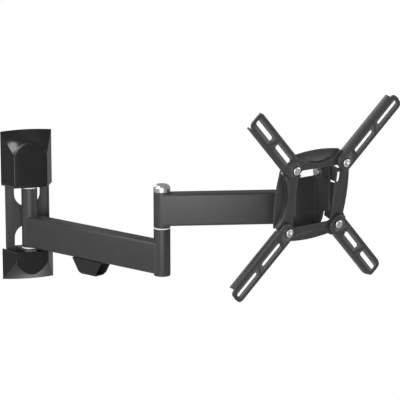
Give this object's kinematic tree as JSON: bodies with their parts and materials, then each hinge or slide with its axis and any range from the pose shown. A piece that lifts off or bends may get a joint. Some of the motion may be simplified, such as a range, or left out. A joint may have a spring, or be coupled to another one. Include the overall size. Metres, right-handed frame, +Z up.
{
  "type": "television wall mount",
  "caption": "Full motion television wall mount: wall plate with covers, two swinging arms, and a tilting head plate with slotted extension arms.",
  "frame": {"origin": "middle of the solid web of the wall plate, on the plate's wall side", "axes": "+Y into the wall, -Y out of the wall, +X to the right seen from the room, +Z up"},
  "size_m": [0.4262, 0.3228, 0.2526],
  "materials": {
    "powder_coat": "fine textured black powder coat",
    "cover_gloss": "gloss black moulded plastic",
    "holder_plastic": "satin black moulded plastic",
    "chrome": "bright chrome plating",
    "zinc": "bright zinc plated steel",
    "nylon": "natural white nylon"
  },
  "bodies": {
    "wall": {"wall_plate": "powder_coat", "upper_cover": "cover_gloss", "lower_cover": "cover_gloss", "shoulder_bolt": "zinc", "shoulder_nut": "zinc"},
    "inner_arm": {"inner_arm": "powder_coat", "shoulder_spacer_top": "nylon", "shoulder_spacer_bottom": "nylon", "shoulder_bush_top": "nylon", "shoulder_bush_bottom": "nylon", "cable_holder": "holder_plastic", "elbow_cap": "chrome", "elbow_bolt": "zinc", "elbow_nut": "zinc", "elbow_bush_lower": "nylon", "elbow_spacer": "nylon"},
    "outer_arm": {"outer_arm": "powder_coat", "elbow_bush_upper": "nylon", "head_bush_top": "nylon", "head_bush_bottom": "nylon", "head_spacer_top": "nylon", "head_spacer_bottom": "nylon"},
    "head": {"head_bracket": "powder_coat", "head_bolt": "zinc", "head_nut": "zinc", "tilt_bolt_left": "zinc", "tilt_nut_left": "powder_coat", "tilt_washer_left": "powder_coat", "tilt_friction_disc_left": "nylon", "tilt_bolt_right": "zinc", "tilt_nut_right": "powder_coat", "tilt_washer_right": "powder_coat", "tilt_friction_disc_right": "nylon"},
    "face": {"vesa_plate": "powder_coat", "extension_arm_upper_left": "powder_coat", "extension_arm_upper_right": "powder_coat", "extension_arm_lower_left": "powder_coat", "extension_arm_lower_right": "powder_coat", "arm_screw_upper_left": "zinc", "arm_screw_upper_right": "zinc", "arm_screw_lower_left": "zinc", "arm_screw_lower_right": "zinc", "arm_nut_upper_left": "zinc", "arm_nut_upper_right": "zinc", "arm_nut_lower_left": "zinc", "arm_nut_lower_right": "zinc"}
  },
  "joints": [
    {"name": "shoulder_swivel", "type": "hinge", "parent": "wall", "child": "inner_arm", "pos_m": [0, -0.016, 0], "axis": [0, 0, 1], "range_deg": [-114, 46]},
    {"name": "elbow_swivel", "type": "hinge", "parent": "inner_arm", "child": "outer_arm", "pos_m": [0.11939, -0.193, 0], "axis": [0, 0, 1], "range_deg": [-140, 55]},
    {"name": "head_swivel", "type": "hinge", "parent": "outer_arm", "child": "head", "pos_m": [0.26638, -0.22184, 0], "axis": [0, 0, 1], "range_deg": [-18, 130]},
    {"name": "head_tilt", "type": "hinge", "parent": "head", "child": "face", "pos_m": [0.27699, -0.24775, 0.08635], "axis": [0.9255, 0.3786, 0], "range_deg": [-14, 6]}
  ]
}
